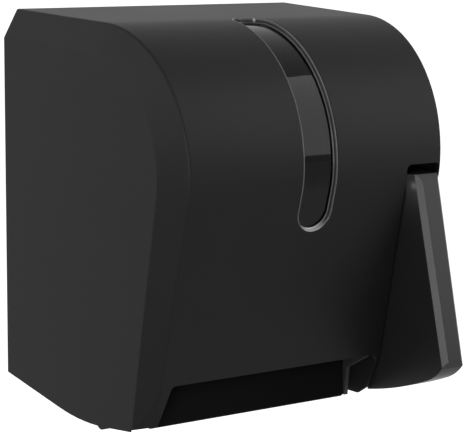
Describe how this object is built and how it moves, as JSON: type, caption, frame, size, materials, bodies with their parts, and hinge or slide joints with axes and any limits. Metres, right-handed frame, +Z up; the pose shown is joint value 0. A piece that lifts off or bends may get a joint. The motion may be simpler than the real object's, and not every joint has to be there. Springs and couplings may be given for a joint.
{
  "type": "lever paper towel dispenser",
  "caption": "Wall-mounted roll towel dispenser with a one-piece moulded cover, viewing window and push lever that drives a feed roller through gears.",
  "frame": {"origin": "centre of the four wall-screw holes, on the wall face of the back plate", "axes": "+Z up along the wall, +Y into the wall, +X to the right seen from the front"},
  "size_m": [0.3392, 0.3228, 0.3674],
  "materials": {
    "cover_plastic": "moulded black plastic, satin gloss",
    "lever_plastic": "moulded black plastic, satin gloss",
    "smoked_window": "smoked clear plastic, polished",
    "frame_plastic": "fine moulded texture, black",
    "cheek_plastic": "fine moulded texture, dark grey",
    "hub_plastic": "grey acetal, satin",
    "gear_plastic": "natural acetal, satin",
    "bush_plastic": "self-lubricating bearing plastic",
    "steel": "ground steel",
    "zinc_steel": "bright zinc plate",
    "spring_steel": "drawn spring wire",
    "chrome": "nickel chrome plate",
    "rubber": "moulded rubber",
    "soft_rubber": "soft grey rubber"
  },
  "bodies": {
    "frame": {"back_plate": "frame_plastic", "hinge_pin_left": "steel", "hinge_pin_right": "steel", "roll_arm_left": "frame_plastic", "roll_arm_right": "frame_plastic", "arm_screws": "zinc_steel", "hub_clip_left": "spring_steel", "hub_clip_right": "spring_steel", "left_cheek": "cheek_plastic", "right_cheek": "cheek_plastic", "lever_cheek": "cheek_plastic", "cheek_screws": "zinc_steel", "lock_strike": "zinc_steel", "strike_screws": "zinc_steel", "gear_guard": "frame_plastic", "guard_screws": "zinc_steel", "guide_chute": "frame_plastic", "crossbar": "frame_plastic", "tear_bar": "steel", "tear_bar_screws": "zinc_steel", "feed_bush_left": "bush_plastic", "feed_bush_right": "bush_plastic", "lever_bush_left": "bush_plastic", "lever_bush_right": "bush_plastic", "yoke_rod": "steel", "idler_stud": "steel", "stop_bumper": "rubber", "pinch_springs": "spring_steel", "lever_spring": "spring_steel"},
    "cover": {"front_cover": "cover_plastic", "window_lens": "smoked_window", "lock_barrel": "chrome", "lock_nut": "zinc_steel"},
    "lock": {"lock_plug": "chrome", "lock_cam": "zinc_steel", "cam_screw": "zinc_steel"},
    "lever": {"lever_shell": "lever_plastic", "lever_shaft": "steel", "lever_roll_pin": "spring_steel", "gear_sector": "gear_plastic"},
    "idler": {"idler_gear": "gear_plastic"},
    "pinion": {"drive_pinion": "gear_plastic", "clutch_cup": "steel"},
    "feed": {"feed_shaft": "steel", "feed_core": "frame_plastic", "feed_sleeves": "rubber", "thumb_wheel": "hub_plastic", "shaft_clips": "spring_steel"},
    "yoke": {"pinch_yoke": "frame_plastic"},
    "pinch": {"pinch_shaft": "steel", "pinch_sleeves": "soft_rubber"},
    "hub_left": {"core_hub_left": "hub_plastic"},
    "hub_right": {"core_hub_right": "hub_plastic"}
  },
  "joints": [
    {"name": "cover_open", "type": "hinge", "parent": "frame", "child": "cover", "pos_m": [0, -0.158, -0.218], "axis": [1, 0, 0], "range_deg": [0, 95]},
    {"name": "lock_turn", "type": "hinge", "parent": "cover", "child": "lock", "pos_m": [0.155, -0.04, 0.075], "axis": [1, 0, 0], "range_deg": [0, 90]},
    {"name": "lever_press", "type": "hinge", "parent": "frame", "child": "lever", "pos_m": [0.12, -0.24397, -0.005], "axis": [1, 0, 0], "range_deg": [0, 22], "stiffness_Nm_per_rad": 1.6, "springref_deg": -34.38},
    {"name": "idler_turn", "type": "hinge", "parent": "frame", "child": "idler", "pos_m": [0.0925, -0.14737, -0.11381], "axis": [1, 0, 0], "range_deg": [-85, 0]},
    {"name": "pinion_turn", "type": "hinge", "parent": "frame", "child": "pinion", "pos_m": [0.0925, -0.17781, -0.14382], "axis": [1, 0, 0], "range_deg": [0, 200]},
    {"name": "feed_turn", "type": "hinge", "parent": "frame", "child": "feed", "pos_m": [0, -0.17781, -0.14382], "axis": [1, 0, 0], "continuous": true},
    {"name": "yoke_release", "type": "hinge", "parent": "frame", "child": "yoke", "pos_m": [0, -0.21396, -0.11298], "axis": [1, 0, 0], "range_deg": [-10, 0], "stiffness_Nm_per_rad": 0.4, "springref_deg": 20.05},
    {"name": "pinch_turn", "type": "hinge", "parent": "yoke", "child": "pinch", "pos_m": [0, -0.20386, -0.14016], "axis": [1, 0, 0], "continuous": true},
    {"name": "hub_left_turn", "type": "hinge", "parent": "frame", "child": "hub_left", "pos_m": [-0.105, -0.125, 0.013], "axis": [1, 0, 0], "continuous": true},
    {"name": "hub_right_turn", "type": "hinge", "parent": "frame", "child": "hub_right", "pos_m": [0.07, -0.125, 0.013], "axis": [1, 0, 0], "continuous": true}
  ],
  "couplings": [
    {"joint": "idler_turn", "follows": "lever_press", "ratio": -3.85},
    {"joint": "pinion_turn", "follows": "lever_press", "ratio": 9.0588},
    {"joint": "pinch_turn", "follows": "feed_turn", "ratio": -1.8889}
  ]
}
